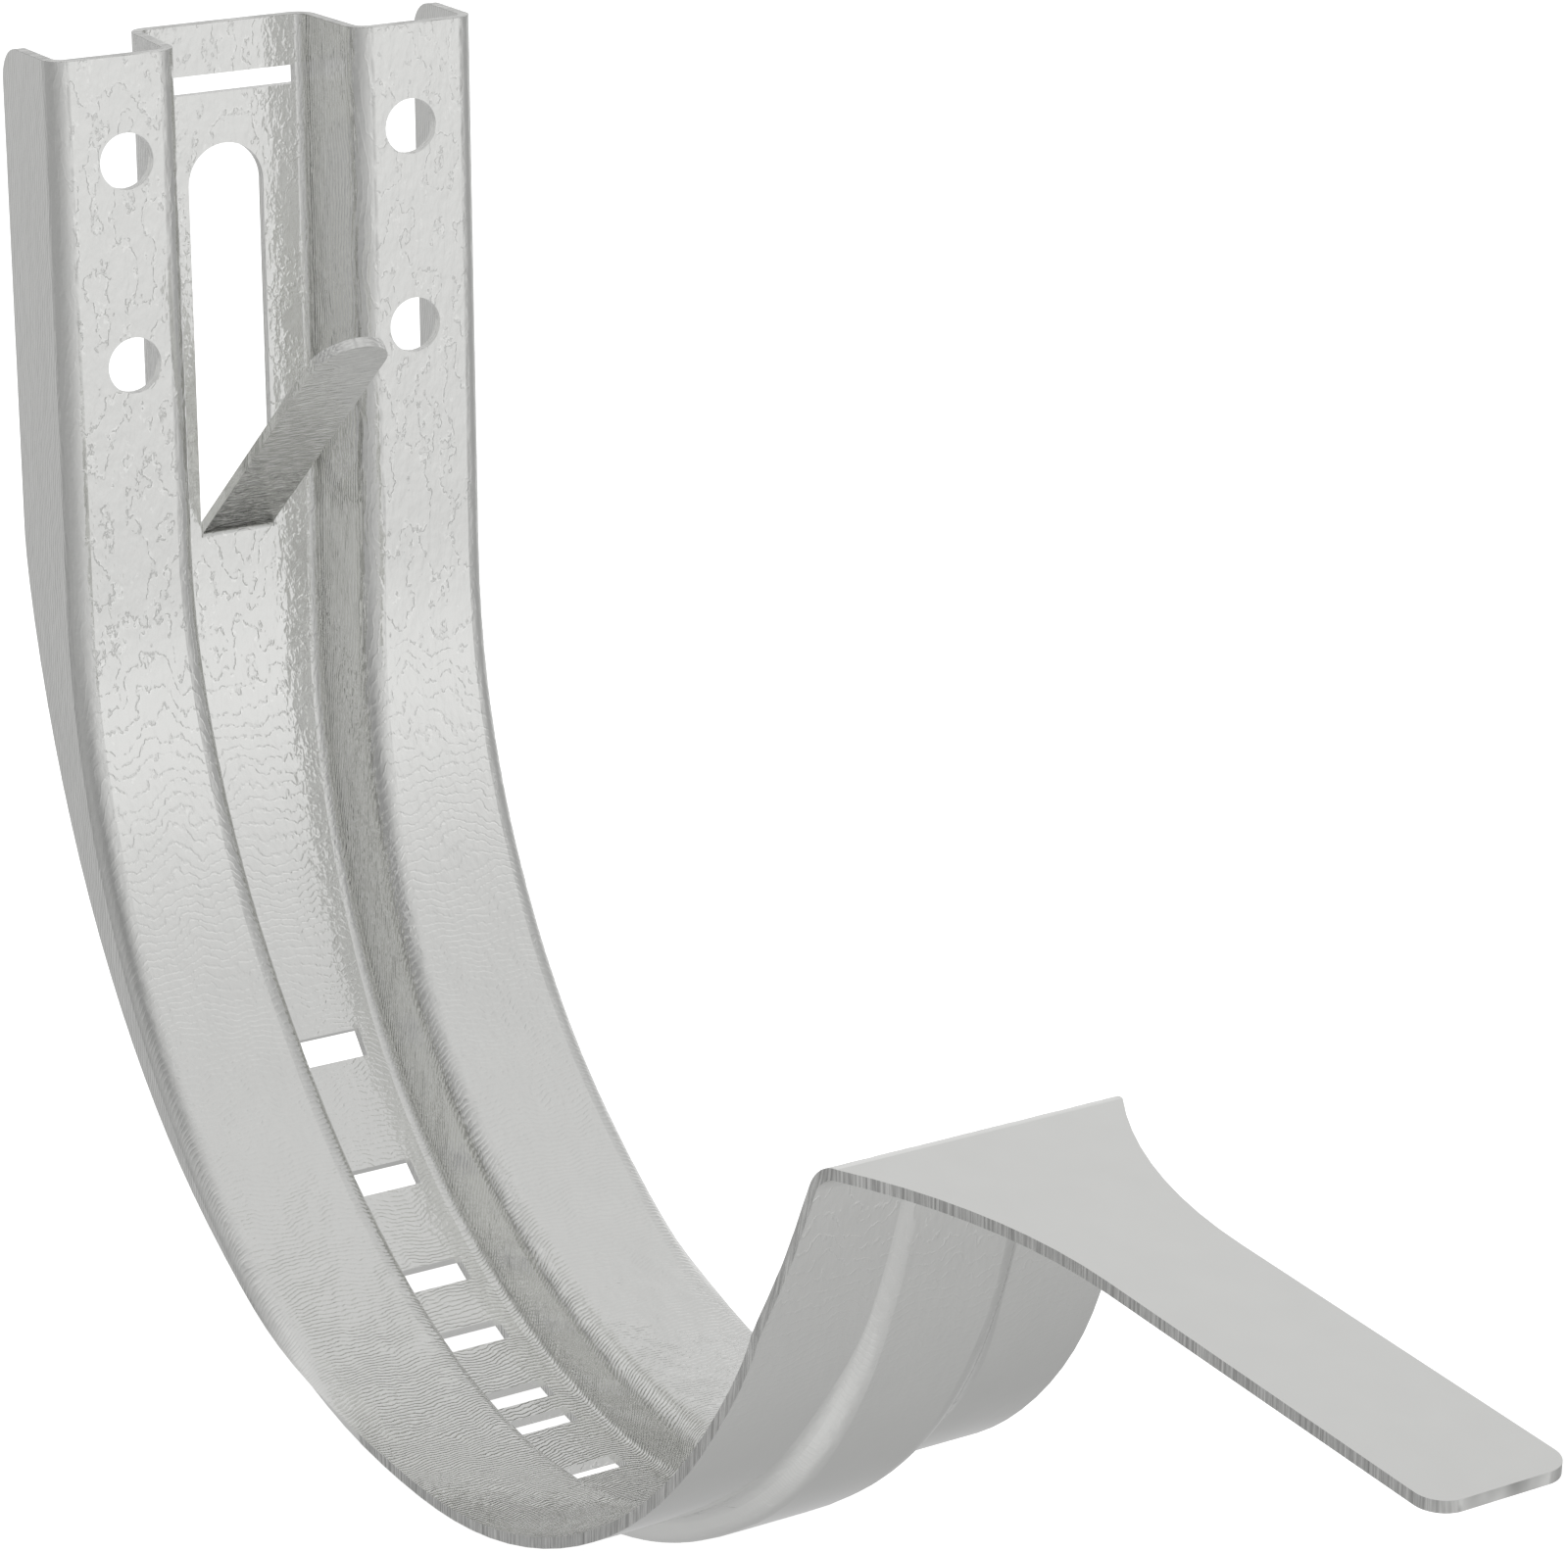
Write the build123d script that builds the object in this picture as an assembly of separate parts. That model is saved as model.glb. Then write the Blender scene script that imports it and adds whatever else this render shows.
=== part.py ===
from build123d import *
import math
import os

# A half-round gutter bracket, folded and pressed from one strip of galvanised sheet.
# The origin is in the middle of the four screw holes, on the gutter side of the lands.
# The wall is at y = stand_off, the gutter side is -Y and up is +Z.

# Sheet and upright
sheet = 1.0
stand_off = 11.0
half_width = 22.1
upright_rise = 19.7
arc_drop = 33.3
full_lip_end = 7.0

# Side view of the lands, from the foot of the upright round to the front
back_radius = 65.0
back_angle = 76.0
belly_radius = 56.0
belly_angle = 80.0
front_radius = 69.0
front_angle = 13.5

# Channel pressed along the middle, which reaches back to the wall
channel_half_width = 9.15
wall_lean = 0.65
channel_depth = stand_off - sheet

# Bends across the sheet
lip_bend = 1.9
channel_bend = 2.0
lip_corner = 3.4

# Screw holes and the narrow slot at the top
hole_diameter = 5.4
hole_spacing_x = 29.7
hole_spacing_z = 19.5
top_slot_width = 15.4
top_slot_height = 1.85
top_slot_z = 13.85

# Small slots round the channel floor: share of the curve, length along it
floor_slot_width = 6.5
floor_slots = [
    (0.243, 2.95),
    (0.314, 2.9),
    (0.373, 2.8),
    (0.414, 2.65),
    (0.459, 2.55),
    (0.482, 2.4),
    (0.529, 2.5),
]

# Retaining tongue, lanced out of the channel floor and bent up over the gutter
slot_width = 7.9
slot_top = 8.0
tongue_width = 7.6
tongue_base = -30.4
tongue_length = 36.9
tongue_rise = 41.3
tongue_bend = 1.0

# Front bend and strap
front_half_width = 14.5
root_half_width = 13.6
strap_bend = 1.5
strap_fall = 2.4
strap_half_width = 6.25
flare_length = 26.0
strap_length = 65.3
strap_corner = 2.4

# Kink in the sides of the strip, below the front bend, as a share of the curve
kink = 0.92

# Stations of the two lofts, as shares of the curve from the foot of the upright to the bend
curve_shares = [
    0.0, 0.06, 0.12, 0.18, 0.24, 0.30, 0.36, 0.40, 0.44,
    0.48, 0.53, 0.58, 0.65, 0.71, 0.77, 0.82, 0.87, kink,
]
front_shares = [kink, 0.94, 0.96, 0.98, 1.0]

# How the folded strip changes on the way round, as pairs of share of the curve and value
# The half width is a share of half_width, and narrows towards the front
width_guide = [
    (0.0, 1.0), (0.18, 0.995), (0.40, 0.980), (0.44, 0.970), (0.48, 0.949), (0.53, 0.927),
    (0.65, 0.905), (0.71, 0.884), (0.77, 0.855), (0.82, 0.836), (kink, 0.785),
    (0.94, 0.757), (0.96, 0.721), (0.98, 0.690), (1.0, front_half_width / half_width),
]
# The lip depth is a share of stand_off, and the lips then unbend into the lands
lip_guide = [
    (0.0, 0.935), (0.06, 0.738), (0.12, 0.590), (0.18, 0.473), (0.24, 0.387),
    (0.36, 0.220), (0.44, 0.150),
]
lip_angle_guide = [(0.36, 90.0), (0.40, 72.0), (0.44, 40.0), (0.48, 14.0), (0.53, 0.0)]
# The channel's half width, lean and depth are shares of their own full values
channel_width_guide = [
    (0.0, 0.985), (0.06, 0.918), (0.12, 0.847), (0.18, 0.782), (0.24, 0.727), (0.30, 0.709),
    (0.36, 0.710), (0.53, 0.749), (0.71, 0.798), (0.82, 0.809), (0.87, 0.759),
    (kink, 0.678), (1.0, 0.610),
]
lean_guide = [
    (0.18, 1.0), (0.36, 1.4), (0.48, 1.8), (0.58, 2.5), (0.71, 3.3),
    (0.82, 3.0), (0.87, 2.4), (kink, 1.4), (1.0, 1.2),
]
depth_guide = [
    (0.0, 0.995), (0.12, 0.945), (0.24, 0.875), (0.36, 0.785), (0.44, 0.700), (0.53, 0.575),
    (0.65, 0.355), (0.71, 0.250), (0.82, 0.145), (0.87, 0.098), (kink, 0.070),
    (0.96, 0.054), (0.98, 0.040), (1.0, 0.0),
]

# Side view of the gutter side of the lands
foot = (0, -arc_drop)
upright_line = Line((0, upright_rise), foot)
back_arc = JernArc(foot, (0, -1), back_radius, -back_angle)
belly_arc = JernArc(back_arc @ 1, back_arc % 1, belly_radius, -belly_angle)
front_arc = JernArc(belly_arc @ 1, belly_arc % 1, front_radius, -front_angle)
side_line = Plane.YZ * Wire([upright_line.edge(), back_arc.edge(), belly_arc.edge(), front_arc.edge()])
curve_length = back_arc.length + belly_arc.length + front_arc.length


def across(share):
    """Plane square to the strip: local x runs along the gutter, local y points into it."""
    length = upright_line.length + share * curve_length
    point = side_line.position_at(length, position_mode=PositionMode.LENGTH)
    heading = side_line.tangent_at(length, position_mode=PositionMode.LENGTH)
    return Plane(origin=point, x_dir=(1, 0, 0), z_dir=heading)


def read(guide, share):
    """Value of a guide at a share of the curve, straight between its pairs."""
    if share <= guide[0][0]:
        return guide[0][1]
    for (low, start), (high, end) in zip(guide, guide[1:]):
        if share <= high:
            return start + (share - low) / (high - low) * (end - start)
    return guide[-1][1]


def rounded(corners, cut_backs):
    """Edges through a row of corners, each corner cut back and joined by a tangent arc."""
    edges = []
    last = corners[0]
    for before, corner, after, cut in zip(corners, corners[1:], corners[2:], cut_backs):
        start = corner + (before - corner).normalized() * cut
        end = corner + (after - corner).normalized() * cut
        turn = math.radians((corner - before).get_angle(after - corner))
        edges.append(Line(last, start).edge())
        if turn < 0.002:
            edges.append(Line(start, end).edge())
        else:
            middle = (start + end) / 2
            sag = (start - end).length / 2 * math.tan(turn / 4)
            middle += (corner - middle).normalized() * sag
            edges.append(ThreePointArc(start, middle, end).edge())
        last = end
    edges.append(Line(last, corners[-1]).edge())
    return edges


def mirrored(points):
    """The same corners on the other side of the middle, in reverse order."""
    return [Vector(-point.X, point.Y) for point in reversed(points)]


def strip_section(width, lip, angle, channel, lean, depth):
    """Closed outline of the folded sheet: two lips, two lands and the channel between them."""
    fold = math.radians(angle)
    slope = math.atan2(depth, lean)
    corner_x = width - lip * math.cos(fold)
    front = [
        Vector(channel - lean, -depth),
        Vector(channel, 0),
        Vector(corner_x, 0),
        Vector(corner_x + lip * math.cos(fold), -lip * math.sin(fold)),
    ]
    # The back of the sheet is one thickness behind, so its corners shift along at each bend
    channel_shift = sheet * math.tan(slope / 2)
    lip_shift = sheet * math.tan(fold / 2)
    back = [
        front[0] + Vector(channel_shift, -sheet),
        front[1] + Vector(channel_shift, -sheet),
        front[2] + Vector(-lip_shift, -sheet),
        front[3] + Vector(-sheet * math.sin(fold), -sheet * math.cos(fold)),
    ]
    lip_cut = min(lip_bend, 0.8 * lip)
    land_cut = min(channel_bend, 0.45 * math.hypot(lean, depth))
    floor_cut = max((channel_bend - sheet) * math.tan(slope / 2), 0.3 * lean)
    front_cuts = [floor_cut, land_cut, lip_cut]
    back_cuts = [floor_cut + channel_shift, land_cut - channel_shift, lip_cut - lip_shift]
    front_edges = rounded(mirrored(front) + front, front_cuts[::-1] + front_cuts)
    back_edges = rounded(mirrored(back) + back, back_cuts[::-1] + back_cuts)
    right_end = Line(front[3], back[3])
    left_end = Line(mirrored(back)[0], mirrored(front)[0])
    return make_face(front_edges + [right_end.edge()] + back_edges + [left_end.edge()])


def section_at(share):
    """The folded strip at a share of the curve."""
    shape = strip_section(
        half_width * read(width_guide, share),
        stand_off * read(lip_guide, share),
        read(lip_angle_guide, share),
        channel_half_width * read(channel_width_guide, share),
        wall_lean * read(lean_guide, share),
        channel_depth * read(depth_guide, share),
    )
    return across(share) * shape


# Upright with full lips
upright_shape = strip_section(half_width, stand_off, 90, channel_half_width, wall_lean, channel_depth)
upright_foot = across(-full_lip_end / curve_length) * upright_shape
upright = extrude(upright_foot, amount=upright_rise + arc_drop - full_lip_end, dir=(0, 0, 1))

# Curve up to the kink, then the front that narrows to the bend as the channel runs out
curve = loft([upright_foot] + [section_at(share) for share in curve_shares])
front_rise = loft([section_at(share) for share in front_shares])

# Front bend, outwards about an axis along the gutter
end_plane = across(1)
bend_radius = strap_bend + sheet
bend_centre = end_plane.origin - end_plane.y_dir * bend_radius
strap_up = Vector(0, -math.sin(math.radians(strap_fall)), math.cos(math.radians(strap_fall)))
bend_turn = end_plane.y_dir.get_angle(strap_up)


def bend_section(share):
    """The flat strip at a share of the way round the front bend, where it narrows to the strap."""
    bend_half_width = front_half_width + share * (root_half_width - front_half_width)
    edge = end_plane * Pos(0, -sheet / 2) * Rectangle(2 * bend_half_width, sheet)
    return edge.rotate(Axis(bend_centre, (1, 0, 0)), share * bend_turn)


front_bend = loft([bend_section(step / 6) for step in range(7)])

# Strap: full width at the bend, curved sides, then parallel with rounded corners
strap_plane = Plane(origin=bend_centre + strap_up * bend_radius, x_dir=(1, 0, 0), z_dir=strap_up)
right_flare = TangentArc((strap_half_width, -flare_length), (root_half_width, 0), tangent=(0, 1))
left_flare = TangentArc((-strap_half_width, -flare_length), (-root_half_width, 0), tangent=(0, 1))
strap_sides = Polyline(
    (strap_half_width, -flare_length),
    (strap_half_width, -strap_length),
    (-strap_half_width, -strap_length),
    (-strap_half_width, -flare_length),
)
strap_root = Line((-root_half_width, 0), (root_half_width, 0))
strap_face = make_face([right_flare.edge(), *strap_sides.edges(), left_flare.edge(), strap_root.edge()])
tip_corners = strap_face.vertices().group_by(Axis.Y)[0]
strap_face = fillet(tip_corners, strap_corner)
strap = extrude(strap_plane * strap_face, amount=-sheet)
pressed = upright + curve + front_rise + front_bend + strap

# Rounded upper corners of the lips, at the wall
top_edges = pressed.edges().filter_by(Axis.X).group_by(Axis.Z)[-1]
lip_edges = [
    edge for edge in top_edges
    if abs(edge.center().X) > half_width - 2 * sheet and edge.center().Y > channel_depth
]
pressed = fillet(lip_edges, lip_corner)

# Four screw holes, two in each land
hole = Rot(90, 0, 0) * Cylinder(hole_diameter / 2, 4 * sheet)
for x in (-hole_spacing_x / 2, hole_spacing_x / 2):
    for z in (-hole_spacing_z / 2, hole_spacing_z / 2):
        pressed -= Pos(x, 0, z) * hole

# Narrow slot across the top of the channel floor
pressed -= Pos(0, stand_off, top_slot_z) * Box(top_slot_width, 4 * sheet, top_slot_height)

# Row of small slots round the channel floor
for share, length in floor_slots:
    floor = -channel_depth * read(depth_guide, share) - sheet / 2
    cutter = Pos(0, floor, 0) * Box(floor_slot_width, 4 * sheet, length)
    pressed -= across(share).location * cutter

# Long slot that the tongue leaves in the channel floor
tongue_turn = 90 - tongue_rise
bend_run = tongue_bend * math.tan(math.radians(tongue_turn / 2))
slot_foot = tongue_base - bend_run
round_z = slot_top - slot_width / 2
long_slot = Pos(0, 0, (slot_foot + round_z) / 2) * Box(slot_width, 4 * sheet, round_z - slot_foot)
long_slot += Pos(0, 0, round_z) * Rot(90, 0, 0) * Cylinder(slot_width / 2, 4 * sheet)
pressed -= Pos(0, stand_off, 0) * long_slot

# Tongue: a bend at the foot of the slot and a straight blade with a round tip
tongue_root_face = Pos(0, stand_off - sheet / 2, slot_foot) * Rectangle(tongue_width, sheet)
tongue_axis = Axis((0, stand_off - sheet - tongue_bend, slot_foot), (1, 0, 0))
tongue_root = revolve(tongue_root_face, tongue_axis, tongue_turn)
rise = math.radians(tongue_rise)
blade_up = Vector(0, math.sin(rise), math.cos(rise))
blade_plane = Plane(origin=tongue_axis.position + blade_up * tongue_bend, x_dir=(1, 0, 0), z_dir=blade_up)
straight_length = tongue_length - bend_run - tongue_width / 2
blade_face = Pos(0, -straight_length / 2) * Rectangle(tongue_width, straight_length)
blade_face += Pos(0, -straight_length) * Circle(tongue_width / 2)
blade = extrude(blade_plane * blade_face, amount=sheet)
pressed = pressed + tongue_root + blade

bracket = pressed.solids().sort_by(SortBy.VOLUME)[-1]
bracket.label = "gutter_bracket"
box = bracket.bounding_box()
print("solids", len(pressed.solids()), "valid", bracket.is_valid)
print("volume mm3", round(bracket.volume, 1), "faces", len(bracket.faces()))
print("box from", [round(v, 2) for v in box.min], "to", [round(v, 2) for v in box.max])
print("front end", [round(v, 2) for v in end_plane.origin], "bend turn", round(bend_turn, 2))

os.makedirs("parts", exist_ok=True)
export_step(bracket, "parts/gutter_bracket.step")
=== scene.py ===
# %% [markdown]
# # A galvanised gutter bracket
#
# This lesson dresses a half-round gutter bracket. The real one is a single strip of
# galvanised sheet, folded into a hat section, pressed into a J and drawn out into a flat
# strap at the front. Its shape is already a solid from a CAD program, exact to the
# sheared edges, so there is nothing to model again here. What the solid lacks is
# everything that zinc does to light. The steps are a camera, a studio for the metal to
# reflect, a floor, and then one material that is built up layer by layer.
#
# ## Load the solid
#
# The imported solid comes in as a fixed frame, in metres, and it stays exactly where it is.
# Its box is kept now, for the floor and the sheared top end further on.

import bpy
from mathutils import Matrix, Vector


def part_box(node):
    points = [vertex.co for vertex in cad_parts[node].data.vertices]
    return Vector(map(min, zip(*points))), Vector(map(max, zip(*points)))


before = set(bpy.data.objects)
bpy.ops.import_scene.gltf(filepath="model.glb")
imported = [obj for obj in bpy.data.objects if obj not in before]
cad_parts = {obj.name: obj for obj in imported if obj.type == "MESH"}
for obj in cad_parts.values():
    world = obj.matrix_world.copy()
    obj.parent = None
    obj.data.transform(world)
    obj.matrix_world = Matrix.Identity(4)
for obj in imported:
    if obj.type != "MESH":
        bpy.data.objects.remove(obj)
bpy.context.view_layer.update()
low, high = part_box("gutter_bracket")
print("solid from", [round(v * 1000, 1) for v in low], "mm")
print("to", [round(v * 1000, 1) for v in high], "mm")

# %% [markdown]
# ## Millimetres and directions
#
# Sheet metal is drawn in millimetres and Blender counts in metres, so one constant turns
# one into the other. Directions round the bracket are easier to read as two angles than as
# three numbers: an azimuth round the upright and an elevation above the floor.

# %% Helpers for lengths and directions
import math

import bpy
from mathutils import Matrix, Vector

MM = 0.001
scene = bpy.context.scene
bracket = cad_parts["gutter_bracket"]


def turned(azimuth, elevation):
    """Unit vector from the bracket towards a place round it: 0 is in front, 90 on the right."""
    a, e = math.radians(azimuth), math.radians(elevation)
    return Vector((math.sin(a) * math.cos(e), -math.cos(a) * math.cos(e), math.sin(e)))


print("the front is", [round(v, 3) for v in turned(0, 0)])
print("the ceiling is", [round(v, 3) for v in turned(0, 90)])

# %% [markdown]
# ## Camera
#
# The bracket is seen from its front left and a little from above, with a long lens that
# keeps its two sides nearly parallel. A Track To constraint could aim the camera, but
# three turns say more: the azimuth and the elevation place it on a sphere round the
# gutter's middle, and the roll levels the picture. The small lens shift only centres the
# frame on the J, whose strap reaches further out than its upright.

# %% Place the camera
AZIMUTH, ELEVATION, ROLL = -32.2055, 18.8281, 0.1598
AIM = Vector((0, -65, -13.8)) * MM
BACK_OFF = Vector((16.955, -16.387, 447.24)) * MM
FOCAL_PX, CENTRE_X, CENTRE_Y = 5332.59, 834.99, 759.57
WIDTH_PX, HEIGHT_PX = 1600, 1583
SENSOR_WIDTH = 36

back = turned(AZIMUTH, ELEVATION)
right = Vector((math.cos(math.radians(AZIMUTH)), math.sin(math.radians(AZIMUTH)), 0))
up = back.cross(right)
roll = math.radians(ROLL)
level_right = math.cos(roll) * right + math.sin(roll) * up
level_up = -math.sin(roll) * right + math.cos(roll) * up
turn = Matrix((level_right, level_up, back)).transposed()

camera_data = bpy.data.cameras.new("camera")
camera_data.sensor_width = SENSOR_WIDTH
camera_data.lens = FOCAL_PX / WIDTH_PX * SENSOR_WIDTH
camera_data.shift_x = 0.5 - CENTRE_X / WIDTH_PX
camera_data.shift_y = (CENTRE_Y - HEIGHT_PX / 2) / WIDTH_PX
camera = bpy.data.objects.new("camera", camera_data)
scene.collection.objects.link(camera)
camera.matrix_world = Matrix.Translation(AIM + turn @ BACK_OFF) @ turn.to_4x4()
scene.camera = camera
distance = (camera.matrix_world.translation - AIM).length
print("lens", round(camera_data.lens, 1), "mm, distance", round(distance, 3), "m")

# %% [markdown]
# ## Helpers for node trees
#
# The studio and the zinc are both node trees, and wiring nodes by hand takes four lines
# each. Two helpers make that one line: the first adds a node with a label that says what
# it is for, and the second adds a Math node whose inputs are numbers or other nodes. A Mix
# node has a pair of inputs for each kind of data, so the ones that are used get a name.

# %% Add a node, add a sum
MIX_NUMBER_A, MIX_NUMBER_B, MIX_NUMBER = 2, 3, 0
MIX_COLOUR_A, MIX_COLOUR_B, MIX_COLOUR = 6, 7, 2


def add_node(tree, kind, label="", **settings):
    """Adds a node, names it after what it does, and fills in its settings."""
    node = tree.nodes.new(kind)
    node.label = label
    for name, value in settings.items():
        setattr(node, name, value)
    return node


def sums(tree, operation, first, second=None, third=None, clamp=False, label=""):
    """A Math node: each value is a number or another node's output."""
    node = add_node(tree, "ShaderNodeMath", label, operation=operation, use_clamp=clamp)
    for socket, value in zip(node.inputs, (first, second, third)):
        if value is None:
            continue
        if isinstance(value, (int, float)):
            socket.default_value = value
        else:
            tree.links.new(value, socket)
    return node.outputs[0]


# %% [markdown]
# ## Studio
#
# Bare metal has hardly any shade of its own. A land of the bracket is pale because a pale
# part of the room stands where it looks, and a lip is grey because it looks at a darker
# side. So the room is made first, as the world's shader. A photograph of a studio would
# do, and so would a ring of softboxes, but broad lobes are simpler to tune: each one adds
# some light, or takes some away, round one direction, by a dot product and an exponent.
# Where the camera looks past the bracket, the background is plain white.

# %% The room that the metal reflects
ROOM_LEVEL, ROOM_RISE = 0.60, -0.01
SOFT_LIGHTS = [
    # azimuth, elevation, spread, brightness added
    (19, 13, 0.186, 0.28),
    (28, -7, 0.094, 0.22),
    (135, -6, 0.139, 0.47),
    (131, -30, 0.262, -0.25),
    (65, 50, 0.458, 0.65),
    (60, 33, 0.60, -0.72),
    (-71, 14, 0.212, -0.28),
    (-104, -14, 0.085, -0.115),
    (-134, -26, 0.06, -0.26),
    (-60, -81, 0.048, 0.10),
    (-126, 45, 0.10, 0.15),
]

world = bpy.data.worlds.new("studio")
world.use_nodes = True
scene.world = world
room = world.node_tree
room.nodes.clear()
direction = add_node(room, "ShaderNodeTexCoord", "direction of the ray").outputs["Generated"]
rise = add_node(room, "ShaderNodeSeparateXYZ", "height of the ray")
room.links.new(direction, rise.inputs[0])
level = sums(room, "MULTIPLY_ADD", rise.outputs["Z"], ROOM_RISE, ROOM_LEVEL,
             label="floor to ceiling")
for azimuth, elevation, spread, added in SOFT_LIGHTS:
    towards = add_node(room, "ShaderNodeVectorMath", "soft light", operation="DOT_PRODUCT")
    towards.inputs[1].default_value = turned(azimuth, elevation)
    room.links.new(direction, towards.inputs[0])
    fall = sums(room, "MULTIPLY_ADD", towards.outputs["Value"], 1 / spread, -1 / spread)
    lobe = sums(room, "EXPONENT", fall)
    level = sums(room, "MULTIPLY_ADD", lobe, added, level)
print("room with", len(SOFT_LIGHTS), "soft lights and shades")

# %% White where the camera looks past the bracket
ray = add_node(room, "ShaderNodeLightPath", "kind of ray")
white_seen = add_node(room, "ShaderNodeMix", "white where the camera looks", data_type="FLOAT")
room.links.new(ray.outputs["Is Camera Ray"], white_seen.inputs["Factor"])
room.links.new(level, white_seen.inputs[MIX_NUMBER_A])
white_seen.inputs[MIX_NUMBER_B].default_value = 1.0
background = add_node(room, "ShaderNodeBackground", "room")
background.inputs["Color"].default_value = (1, 1, 1, 1)
room.links.new(white_seen.outputs[MIX_NUMBER], background.inputs["Strength"])
world_output = add_node(room, "ShaderNodeOutputWorld", "world")
room.links.new(background.outputs[0], world_output.inputs["Surface"])
scene.view_settings.view_transform = "Standard"
print("the world has", len(room.nodes), "nodes")

# %% [markdown]
# ## Floor
#
# The bracket is shown on a plain pale floor that its lowest point just touches. A plane
# with a white material would turn grey wherever the studio is dim, so a little light is
# added that only the camera sees. It lifts the floor to white, while the matt part under
# it still takes the bracket's shadow. The floor is a disc, so that no corner shows from
# any side, and it is kept out of the metal's reflections, where the room does that work.

# %% Floor
FLOOR_RADIUS = 2.0
FLOOR_CORNERS = 96
FLOOR_GREY = 0.8
FLOOR_LIFT = 0.75

rim = [turned(360 * i / FLOOR_CORNERS, 0) * FLOOR_RADIUS for i in range(FLOOR_CORNERS)]
floor_mesh = bpy.data.meshes.new("floor")
floor_mesh.from_pydata([Vector((p.x, p.y, low.z)) for p in rim], [], [list(range(FLOOR_CORNERS))])
floor = bpy.data.objects.new("floor", floor_mesh)
scene.collection.objects.link(floor)
floor.visible_glossy = False

floor_paint = bpy.data.materials.new("pale floor")
floor_paint.use_nodes = True
paint = floor_paint.node_tree
paint.nodes.clear()
matt = add_node(paint, "ShaderNodeBsdfDiffuse", "matt white")
matt.inputs["Color"].default_value = (FLOOR_GREY, FLOOR_GREY, FLOOR_GREY, 1)
lift = add_node(paint, "ShaderNodeEmission", "lifts the floor to white")
floor_ray = add_node(paint, "ShaderNodeLightPath", "kind of ray")
seen_only = sums(paint, "MULTIPLY", floor_ray.outputs["Is Camera Ray"], FLOOR_LIFT)
paint.links.new(seen_only, lift.inputs["Strength"])
both = add_node(paint, "ShaderNodeAddShader", "floor")
paint.links.new(matt.outputs[0], both.inputs[0])
paint.links.new(lift.outputs[0], both.inputs[1])
floor_output = add_node(paint, "ShaderNodeOutputMaterial", "floor")
paint.links.new(both.outputs[0], floor_output.inputs["Surface"])
floor_mesh.materials.append(floor_paint)
print("floor at z", round(low.z * 1000, 1), "mm")

# %% [markdown]
# ## Key light
#
# The room alone would leave the floor without a direction. One large disc lamp, high on
# the right, gives it a soft shadow. A lamp this size would print a round hot spot on every
# bend of a polished sheet, so the metal's reflections don't see it.

# %% Key light
KEY_DIRECTION = turned(30, 55)
KEY_DISTANCE = 1.4
KEY_SIZE, KEY_WATTS = 1.2, 6

lamp_data = bpy.data.lights.new("key light", "AREA")
lamp_data.shape = "DISK"
lamp_data.size = KEY_SIZE
lamp_data.energy = KEY_WATTS
lamp = bpy.data.objects.new("key light", lamp_data)
lamp.location = AIM + KEY_DIRECTION * KEY_DISTANCE
lamp.rotation_euler = KEY_DIRECTION.to_track_quat("Z", "Y").to_euler()
lamp.visible_glossy = False
scene.collection.objects.link(lamp)
print("key light", KEY_WATTS, "W,", KEY_SIZE, "m across")

# %% [markdown]
# ## Zinc, and where a point of the strip is
#
# Hot-dipped sheet is steel under a thin skin of zinc, pale, neutral and nearly mirror
# smooth. All of its finish depends on two things: where a point is on the strip, and
# which way the surface looks there. Object coordinates give the first, and the Normal
# output gives the second. Neither depends on the camera, so the finish stays put when the
# bracket is seen from another side. A UV map could carry it too, but a folded strip has
# many seams, and solid coordinates have none.

# %% A new material with its coordinates
zinc = bpy.data.materials.new("galvanised steel")
zinc.use_nodes = True
skin = zinc.node_tree
shader = skin.nodes["Principled BSDF"]
shader.inputs["Metallic"].default_value = 1.0

place = add_node(skin, "ShaderNodeTexCoord", "place on the bracket")
at = add_node(skin, "ShaderNodeSeparateXYZ", "x, y and z")
skin.links.new(place.outputs["Object"], at.inputs[0])
facing = add_node(skin, "ShaderNodeSeparateXYZ", "which way it looks")
skin.links.new(place.outputs["Normal"], facing.inputs[0])
off_middle = sums(skin, "ABSOLUTE", at.outputs["X"], label="distance from the middle")
print("material", zinc.name, "with a metallic shader")

# %% [markdown]
# Two more helpers draw on the strip. The first is a noise that can be stretched, for marks
# that are long one way. The second is a ramp, which most of the masks below are: nothing
# before some place, one from a little further on, and an even rise in between.

# %% Stretched noise, and a ramp
def stretched_noise(scale, detail, label, roughness=0.5):
    """Noise with so many features per millimetre along x, y and z."""
    mapping = add_node(skin, "ShaderNodeMapping", label)
    mapping.inputs["Scale"].default_value = [value / MM for value in scale]
    skin.links.new(place.outputs["Object"], mapping.inputs["Vector"])
    noise = add_node(skin, "ShaderNodeTexNoise", label, noise_dimensions="3D")
    noise.inputs["Scale"].default_value = 1.0
    noise.inputs["Detail"].default_value = detail
    noise.inputs["Roughness"].default_value = roughness
    skin.links.new(mapping.outputs[0], noise.inputs["Vector"])
    return noise.outputs["Fac"]


def ramp(value, start, length, label=""):
    """0 up to the start and 1 from a length further on; a negative length falls instead."""
    return sums(skin, "MULTIPLY_ADD", value, 1 / length, -start / length, clamp=True, label=label)


print("the zinc has", len(skin.nodes), "nodes so far")

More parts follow.
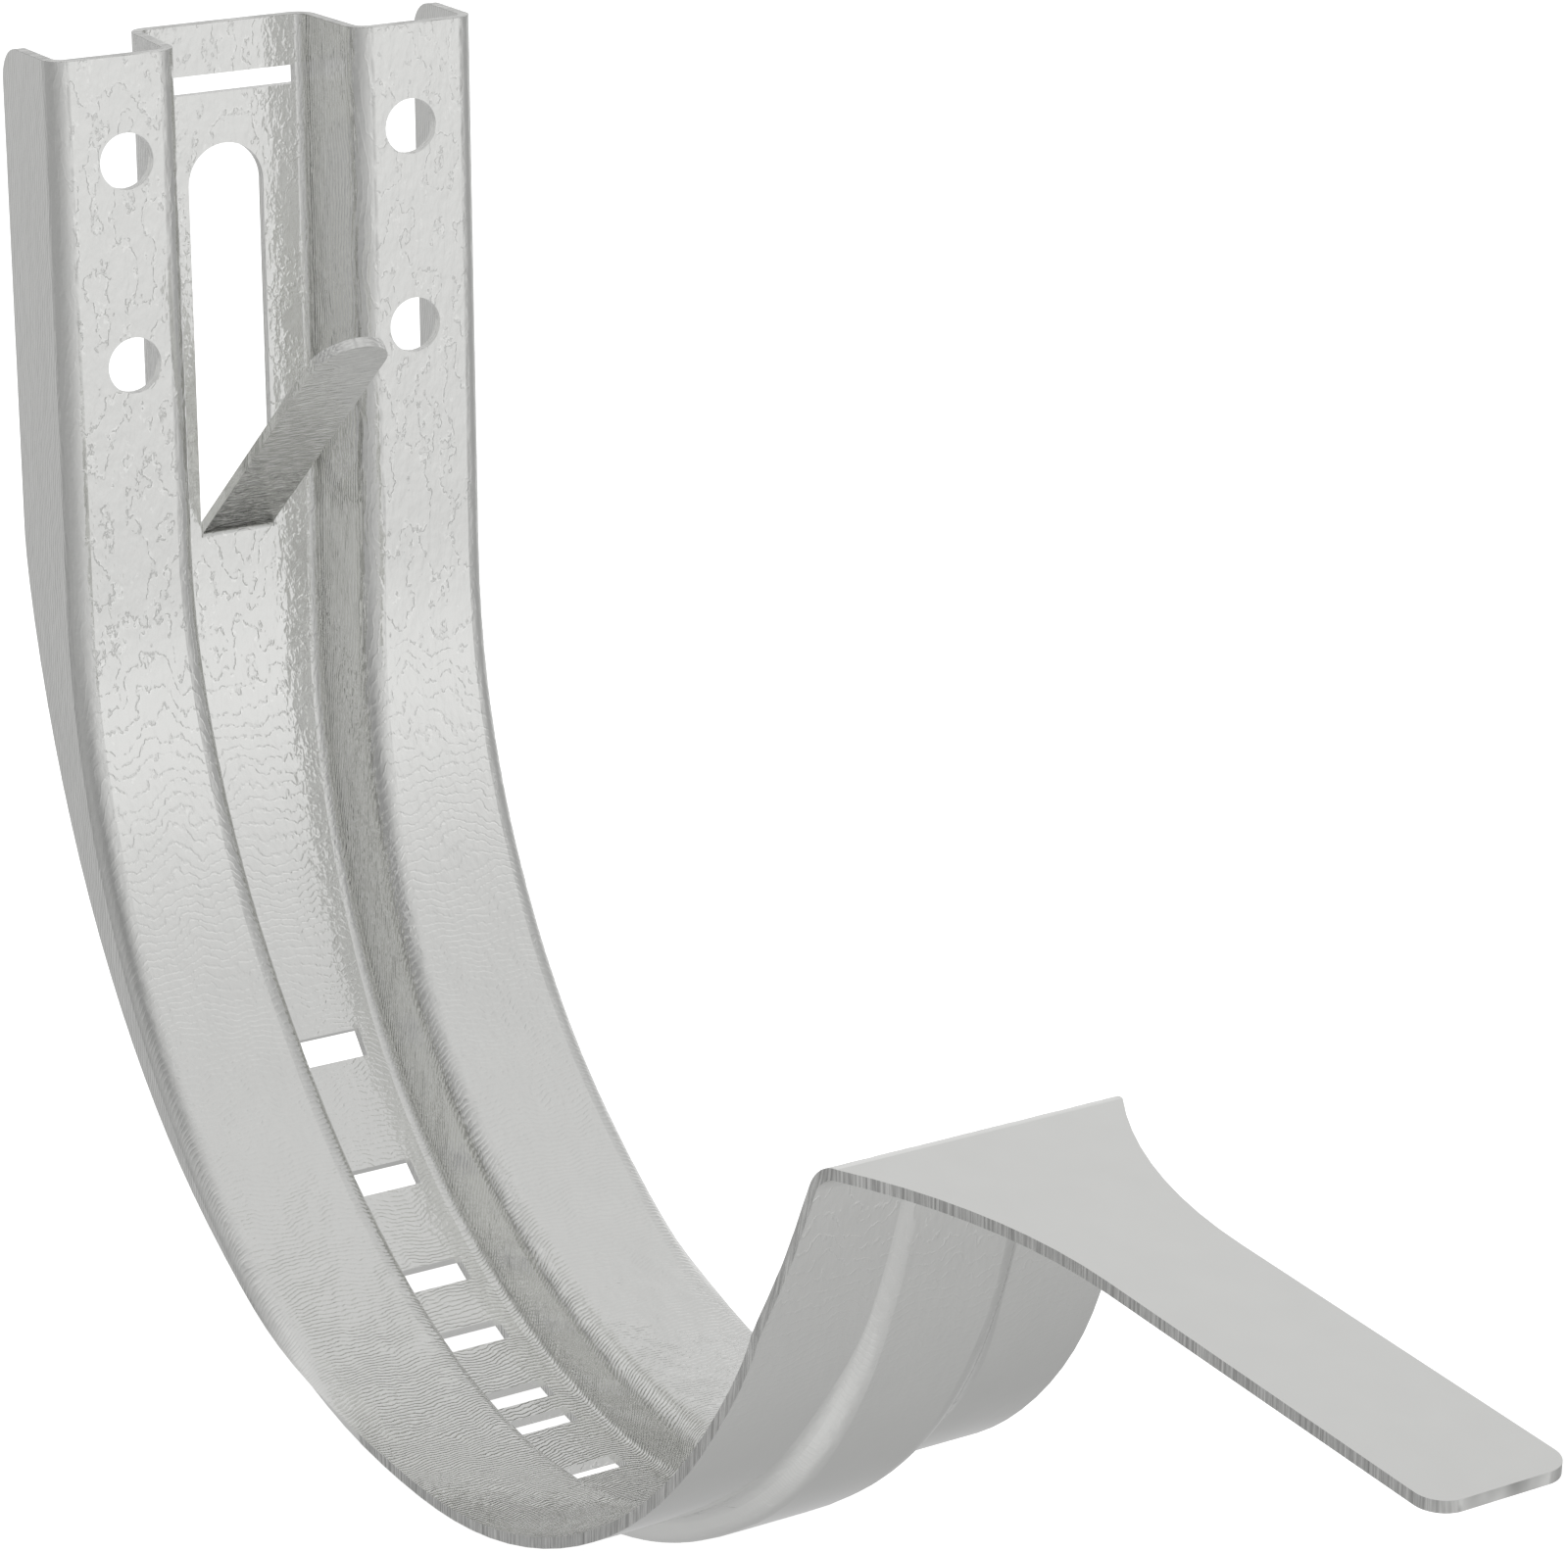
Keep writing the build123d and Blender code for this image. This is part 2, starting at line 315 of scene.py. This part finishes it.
# %% [markdown]
# ## Veins and ripples
#
# A close look at the sheet shows fine raised lines. On the flat upright they wander like
# the contour lines of a map, far apart. Round the curve they cross the strip as ripples,
# closer and closer to the bottom, and on the lips they run as upright streaks. One idea
# makes all three. Take the depth of a point towards the wall, let a noise push it a
# little in or out, and draw a line at every step of that depth. A flat face that looks
# along the depth only meets a line where the noise changes, and a face that runs along
# the depth crosses one at every step. A wave texture could draw the ripples, but it would
# not thin them out on the flats by itself. What decides all this is the slope: nothing on
# the flats, and one where the surface runs straight into the depth.

# %% How steeply the surface runs into the depth
FLAT_UP_TO, FLAT_FADE = 0.2, 1 / 3

level_part = sums(skin, "MULTIPLY", facing.outputs["Y"], facing.outputs["Y"])
steep_part = sums(skin, "SUBTRACT", 1.0, level_part, clamp=True)
slope = sums(skin, "SQRT", steep_part, label="0 on the flats, 1 on the lips")
flatness = ramp(slope, FLAT_UP_TO + FLAT_FADE, -FLAT_FADE, "1 on the flats")
curved = sums(skin, "SUBTRACT", 1.0, flatness)
print("flat up to a slope of", FLAT_UP_TO, "and curved from", round(FLAT_UP_TO + FLAT_FADE, 2))

# %% Contour lines of the depth
LINE_SPACING = 0.42 * MM
WANDER, SHIVER = 3.2 * MM, 0.45 * MM
STEADIED_BY_SLOPE = 0.45

broad = stretched_noise((0.18, 0.12, 0.09), 3.0, "broad wander")
fine = stretched_noise((1.7, 1.3, 1.1), 3.0, "fine shiver", 0.55)
shiver = sums(skin, "MULTIPLY", fine, sums(skin, "MULTIPLY_ADD", slope, -STEADIED_BY_SLOPE, 1.0))
depth = sums(skin, "MULTIPLY_ADD", broad, WANDER, at.outputs["Y"])
depth = sums(skin, "MULTIPLY_ADD", shiver, SHIVER, depth, label="depth, pushed in and out")
steps = sums(skin, "DIVIDE", depth, LINE_SPACING, label="steps of depth")
off_line = sums(skin, "PINGPONG", steps, 0.5, label="distance from a line")
print("a line at every", round(LINE_SPACING / MM, 2), "mm of depth")

# %% [markdown]
# A line is a small ridge: full height in its middle and nothing at its two edges. It is
# given more width where the lines crowd, because there they are the crests of a wave. On
# the flats the zinc froze in crumbs, so a second noise breaks the lines into dashes, and
# they get fainter towards the top and the right. The strap was flattened by the press and
# shows none, and the underside shows few.

# %% Ridges, broken on the flats and whole round the curve
FLAT_HALF_WIDTH, WIDER_BY_SLOPE = 0.075, 0.24
CRUMBS_FROM, CRUMBS_FADE = 0.4, 1 / 6
STRENGTH, FAINTER_UPWARD, FAINTER_RIGHTWARD = 0.62, 0.0068 / MM, 0.0037 / MM

half_width = sums(skin, "MULTIPLY_ADD", slope, WIDER_BY_SLOPE, FLAT_HALF_WIDTH,
                  label="half width of a line, in steps")
ridge = sums(skin, "SUBTRACT", 1.0, sums(skin, "DIVIDE", off_line, half_width), clamp=True)
crumbs = ramp(stretched_noise((2.2, 2.2, 1.5), 1.0, "crumbs"), CRUMBS_FROM, CRUMBS_FADE)
strength = sums(skin, "MULTIPLY_ADD", at.outputs["Z"], -FAINTER_UPWARD, STRENGTH)
strength = sums(skin, "MULTIPLY_ADD", at.outputs["X"], -FAINTER_RIGHTWARD, strength,
                clamp=True, label="fainter at the top")
dashes = sums(skin, "MULTIPLY", crumbs, strength)
whole = sums(skin, "MULTIPLY_ADD", dashes, flatness, curved, label="dashes on the flats only")
line = sums(skin, "MULTIPLY", ridge, whole)
print("half width of a line on the flats", round(FLAT_HALF_WIDTH * LINE_SPACING / MM, 3), "mm")

# %% Where the lines show
STRAP_END, STRAP_FADE = -121 * MM, 1.5 * MM
CURVE_BELOW = -45 * MM
UNDERSIDE_FADE = 1.3

off_strap = ramp(at.outputs["Y"], STRAP_END, STRAP_FADE, "0 on the strap")
below = sums(skin, "LESS_THAN", at.outputs["Z"], CURVE_BELOW)
tilt = sums(skin, "MULTIPLY", facing.outputs["Z"], UNDERSIDE_FADE)
downward = sums(skin, "MULTIPLY", below, tilt)
upper_side = sums(skin, "ADD", sums(skin, "MINIMUM", downward, 0.0), 1.0,
                  clamp=True, label="0 underneath")
shown = sums(skin, "MULTIPLY", off_strap, upper_side, label="where the lines show")
print("no lines on the strap past y", round(STRAP_END / MM, 1), "mm")

# %% [markdown]
# ## Relief
#
# The lines are a few hundredths of a millimetre high, far too low to change the bracket's
# shape, so they are bumps in the shader and not geometry. Two softer reliefs go under
# them. The frosty grain of the zinc hardly shows on the lands, but it makes the mirrored
# walls break up along the channel floor, and the rolled sheet's own unevenness lets broad
# reflections drift. Bump nodes can be chained, but each one works out its height three
# times. It is quicker to add all the heights up in millimetres and to use one Bump at the
# end.

# %% Relief of lines, grain and rolled sheet
LINE_HEIGHT, GRAIN_HEIGHT, ROLLED_HEIGHT = 0.034, 0.055, 0.03
LOWER_BY_SLOPE, HIGHER_BY_SLOPE_SQUARED, HIGHER_AT_BOTTOM = 1.3, 1.05, 0.35
LIP_FROM, LOWER_ON_LIPS = 20.5 * MM, 0.5

height = sums(skin, "MULTIPLY_ADD", slope, HIGHER_BY_SLOPE_SQUARED, -LOWER_BY_SLOPE)
height = sums(skin, "MULTIPLY_ADD", height, slope, 1.0, label="lower half way round the bends")
upward = sums(skin, "MAXIMUM", facing.outputs["Z"], 0.0)
upward_squared = sums(skin, "MULTIPLY", upward, upward)
height = sums(skin, "MULTIPLY_ADD", upward_squared, HIGHER_AT_BOTTOM, height,
              label="high at the bottom")
on_lip = sums(skin, "GREATER_THAN", off_middle, LIP_FROM)
height = sums(skin, "MULTIPLY", height, sums(skin, "MULTIPLY_ADD", on_lip, -LOWER_ON_LIPS, 1.0))
line_height = sums(skin, "MULTIPLY", sums(skin, "MULTIPLY", line, height), shown)

grain = stretched_noise((1.3, 0.9, 0.6), 2.0, "grain of the zinc")
cloud = stretched_noise((0.30, 0.22, 0.22), 2.0, "unevenness of the sheet")
soft = sums(skin, "MULTIPLY_ADD", cloud, ROLLED_HEIGHT, sums(skin, "MULTIPLY", grain, GRAIN_HEIGHT))
lines_in_mm = sums(skin, "MULTIPLY", line_height, LINE_HEIGHT)
relief = sums(skin, "MULTIPLY_ADD", soft, shown, lines_in_mm, label="relief in mm")
print("lines", LINE_HEIGHT, "mm, grain", GRAIN_HEIGHT, "mm, rolled sheet", ROLLED_HEIGHT, "mm")

# %% [markdown]
# Two places are rougher than the rest. Along both sides of the channel floor the folding
# tools left patches of small dimples, and they show because the dark wall is mirrored
# beside the pale room there. The tongue was sheared and bent up, and it is scored across
# from side to side, most of all near its root.

# %% Dimples of the channel floor
DIMPLE_HEIGHT = 0.06
REAR_FROM, REAR_FADE = -62 * MM, 10 * MM
SLOT_SIDE, SLOT_FADE = 4.0 * MM, 1.2 * MM
FLOOR_EDGE = 8.3 * MM
DIMPLES_ABOVE, DIMPLES_FADE = -78 * MM, 12 * MM
PATCHES_FROM, PATCHES_FADE = 0.375, 0.25
SPOTS_FROM, SPOTS_FADE = 0.5, 1 / 3.5

rear_part = ramp(at.outputs["Y"], REAR_FROM, REAR_FADE, "0 on the front")
beside_slot = ramp(off_middle, SLOT_SIDE, SLOT_FADE)
in_channel = sums(skin, "MULTIPLY", beside_slot, sums(skin, "LESS_THAN", off_middle, FLOOR_EDGE))
in_channel = sums(skin, "MULTIPLY", in_channel, rear_part)
upper_part = ramp(at.outputs["Z"], DIMPLES_ABOVE, DIMPLES_FADE)
beside_walls = sums(skin, "MULTIPLY", in_channel, upper_part, label="where the dimples are")
patch = ramp(cloud, PATCHES_FROM, PATCHES_FADE, "patches")
spots = ramp(stretched_noise((2.0, 1.8, 1.5), 1.0, "dimples"), SPOTS_FROM, SPOTS_FADE)
dimples = sums(skin, "MULTIPLY", sums(skin, "MULTIPLY", spots, patch), beside_walls)
relief = sums(skin, "MULTIPLY_ADD", dimples, DIMPLE_HEIGHT, relief, label="with the dimples")
print("dimples of", DIMPLE_HEIGHT, "mm above z", round(DIMPLES_ABOVE / MM, 1), "mm")

# %% Scores of the tongue
SCORE_HEIGHT = 0.16
TONGUE_HALF_WIDTH, TONGUE_CLEARS_AT, TONGUE_ROOT = 3.7 * MM, 9.6 * MM, -31 * MM
SMOOTH_TIP, SCORES_RISE = 2.88 * MM, 24 * MM

narrow = sums(skin, "LESS_THAN", off_middle, TONGUE_HALF_WIDTH)
clear_of_floor = sums(skin, "LESS_THAN", at.outputs["Y"], TONGUE_CLEARS_AT)
above_root = sums(skin, "GREATER_THAN", at.outputs["Z"], TONGUE_ROOT)
tongue = sums(skin, "MULTIPLY", narrow, sums(skin, "MULTIPLY", clear_of_floor, above_root),
              label="the tongue")
near_root = ramp(at.outputs["Z"], SMOOTH_TIP, -SCORES_RISE, "1 at the root")
scored = sums(skin, "MULTIPLY", tongue, near_root)
scores = sums(skin, "MULTIPLY", stretched_noise((0.6, 4.2, 4.2), 1.0, "scores"), scored)
relief = sums(skin, "MULTIPLY_ADD", scores, SCORE_HEIGHT, relief, label="with the scores")
print("scores of", SCORE_HEIGHT, "mm above z", round(TONGUE_ROOT / MM, 1), "mm")

# %% [markdown]
# ## Sheared edges
#
# The strip was cut from coil, and a shear leaves a torn, hatched face one sheet thick:
# duller and greyer than the zinc beside it, with marks square to the edge. Painting those
# faces as a second material slot would need a selection by hand. Place and direction find
# them instead: the sides of the strap, the sides of the front past the lips, and the top
# end of the upright. A noise that is long through the sheet and short along it is the
# hatch.

# %% Where the sheared edges are
FLAT_STRAP, LIPS_END = -124 * MM, -52 * MM
PAST_CHANNEL = 11 * MM
TOP_END = 19.65 * MM
ON_EDGE, UPRIGHT = 0.8, 0.5

sideways = sums(skin, "ABSOLUTE", facing.outputs["X"])
upright_face = sums(skin, "LESS_THAN", sums(skin, "ABSOLUTE", facing.outputs["Z"]), UPRIGHT)
on_strap = sums(skin, "LESS_THAN", at.outputs["Y"], FLAT_STRAP)
strap_side = sums(skin, "MULTIPLY", on_strap, upright_face)
past_lips = sums(skin, "LESS_THAN", at.outputs["Y"], LIPS_END)
outer = sums(skin, "GREATER_THAN", off_middle, PAST_CHANNEL)
outer_side = sums(skin, "MULTIPLY", outer, sums(skin, "GREATER_THAN", sideways, ON_EDGE))
front_side = sums(skin, "MULTIPLY", past_lips, outer_side)
top_end = sums(skin, "GREATER_THAN", at.outputs["Z"], TOP_END)
sheared = sums(skin, "MAXIMUM", sums(skin, "MAXIMUM", strap_side, front_side), top_end,
               label="sheared edges")
print("the top end is sheared, from z", round(TOP_END / MM, 2), "to", round(high.z / MM, 2), "mm")

# %% Hatch of the shear, then all the relief in one Bump
HATCH_HEIGHT, HATCHES_PER_MM = 0.10, 5.0

hatch = stretched_noise((0.3, HATCHES_PER_MM, 0.15), 1.5, "hatch of the shear", 0.6)
torn = sums(skin, "MULTIPLY", hatch, sums(skin, "MULTIPLY", sheared, HATCH_HEIGHT))
bump = add_node(skin, "ShaderNodeBump", "relief of the zinc")
bump.inputs["Strength"].default_value = 1.0
bump.inputs["Distance"].default_value = MM
skin.links.new(sums(skin, "ADD", relief, torn, label="all the relief in mm"), bump.inputs["Height"])
skin.links.new(bump.outputs[0], shader.inputs["Normal"])
print("a mark of the shear about every", round(1 / HATCHES_PER_MM, 2), "mm")

# %% [markdown]
# ## Painted shade along the folds
#
# Where a flat face ends and a fold begins, a thin, broken dark line of painted shade runs
# along the fold. The surface's own direction finds that place too: a flat face looks
# straight out, so a fold begins where the direction first leans to the side, and it ends
# where the direction nearly lies across. Another noise, long along the strip, breaks the
# painted shade up.

# %% Painted shade where the folds begin and end
def near(value, middle, reach):
    """1 where the value is at the middle, 0 further from it than the reach."""
    away = sums(skin, "ABSOLUTE", sums(skin, "SUBTRACT", value, middle))
    return sums(skin, "MULTIPLY_ADD", away, -1 / reach, 1.0, clamp=True)


LEANING, LEANING_REACH = 0.13, 0.08
ACROSS, ACROSS_REACH = 0.88, 0.06
UPRIGHT_FROM, UPRIGHT_FADE = -60 * MM, 10 * MM
WALLS_WITHIN = 12 * MM
SHADE_BREAKS_FROM, SHADE_BREAKS_FADE = 0.4, 0.2

upright_part = ramp(at.outputs["Z"], UPRIGHT_FROM, UPRIGHT_FADE)
walls = sums(skin, "MULTIPLY", sums(skin, "LESS_THAN", off_middle, WALLS_WITHIN), rear_part)
fold_begins = sums(skin, "MULTIPLY", near(sideways, LEANING, LEANING_REACH), upright_part)
fold_ends = sums(skin, "MULTIPLY", near(sideways, ACROSS, ACROSS_REACH), walls)
# A noise that breaks the painted fold shade into dashes.
shade_breaks = ramp(stretched_noise((1.5, 0.5, 0.45), 2.0, "shade_breaks"), SHADE_BREAKS_FROM, SHADE_BREAKS_FADE)
folds = sums(skin, "MAXIMUM", fold_begins, fold_ends)
# Painted shade along the folds, in broken dashes.
painted_fold_shade = sums(skin, "MULTIPLY", folds, shade_breaks, label="painted_shade_lines")
print("creases where the direction leans by", LEANING, "and by", ACROSS)

# %% [markdown]
# ## Gloss
#
# New zinc mirrors the channel wall in the channel floor, so its roughness is low, a little
# uneven with the rolled sheet, and much higher where the shear tore the metal.

# %% Gloss
GLOSS, UNEVEN_GLOSS, EDGE_DULLNESS = 0.085, 0.02, 0.22

dull = sums(skin, "MULTIPLY_ADD", sheared, EDGE_DULLNESS, GLOSS)
dull = sums(skin, "MULTIPLY_ADD", cloud, UNEVEN_GLOSS, dull, label="roughness")
skin.links.new(dull, shader.inputs["Roughness"])
print("roughness about", round(GLOSS + UNEVEN_GLOSS / 2, 3))

# %% [markdown]
# ## Colour
#
# Zinc is almost colourless, a shade warmer each time light bounces between two walls. The
# lightness moves a few hundredths with the unevenness of the sheet. The frozen crumbs are
# a little greyer, and a painted highlight runs on one side of each line, for the lit side of
# the ridge. Painted shade darkens the folds. The sheared edges are darker, in stripes, and
# so are the scores of the tongue.

# %% Lightness of painted highlights, veins, painted fold shade and edges
HIGHLIGHT_OFFSET, HIGHLIGHT_HALF_WIDTH = 0.12, 0.07
LIGHTNESS, UNEVEN_LIGHTNESS = 0.87, 0.04
VEIN_GREY, PAINTED_HIGHLIGHT_BRIGHT, FOLD_SHADE_DARK = 0.06, 0.16, 0.22
STRIPE_CONTRAST, STRIPE_DARK = 1.3, 0.76
SCORE_CONTRAST, SCORE_DARK = 0.8, 0.42
DARKEST, LIGHTEST = 0.5, 1.0

# A painted highlight beside each line on the flats, standing for the lit side of the ridge.
beside = sums(skin, "PINGPONG", sums(skin, "ADD", steps, HIGHLIGHT_OFFSET), 0.5, label="beside a line")
painted_highlight = sums(skin, "SUBTRACT", 1.0, sums(skin, "DIVIDE", beside, HIGHLIGHT_HALF_WIDTH), clamp=True)
on_flats = sums(skin, "MULTIPLY", flatness, shown)
painted_highlight = sums(skin, "MULTIPLY", sums(skin, "MULTIPLY", painted_highlight, dashes), on_flats)
greyed = sums(skin, "MULTIPLY", line, on_flats)

light = sums(skin, "MULTIPLY_ADD", cloud, UNEVEN_LIGHTNESS, LIGHTNESS, label="lightness")
light = sums(skin, "MULTIPLY_ADD", greyed, -VEIN_GREY, light)
# The painted highlight brightens the colour beside each line.
light = sums(skin, "MULTIPLY_ADD", painted_highlight, PAINTED_HIGHLIGHT_BRIGHT, light)
# The painted shade along the folds darkens the colour.
light = sums(skin, "MULTIPLY_ADD", painted_fold_shade, -FOLD_SHADE_DARK, light)
stripe = sums(skin, "MULTIPLY_ADD", hatch, STRIPE_CONTRAST, -STRIPE_DARK)
light = sums(skin, "MULTIPLY_ADD", stripe, sheared, light)
light = sums(skin, "MULTIPLY_ADD", scored, -SCORE_DARK, light)
light = sums(skin, "MULTIPLY_ADD", scores, SCORE_CONTRAST, light)
light = sums(skin, "MINIMUM", sums(skin, "MAXIMUM", light, DARKEST), LIGHTEST,
             label="kept between darkest and lightest")
print("lightness about", round(LIGHTNESS + UNEVEN_LIGHTNESS / 2, 3))

# %% Tint, and the zinc goes on the bracket
ZINC_TINT = (0.998, 1.0, 0.98, 1)

tint = add_node(skin, "ShaderNodeMix", "tint of the zinc", data_type="RGBA", blend_type="MULTIPLY")
tint.inputs["Factor"].default_value = 1.0
tint.inputs[MIX_COLOUR_A].default_value = ZINC_TINT
skin.links.new(light, tint.inputs[MIX_COLOUR_B])
skin.links.new(tint.outputs[MIX_COLOUR], shader.inputs["Base Color"])

bracket.data.materials.clear()
bracket.data.materials.append(zinc)
print("zinc of", len(skin.nodes), "nodes on", len(bracket.data.polygons), "faces")
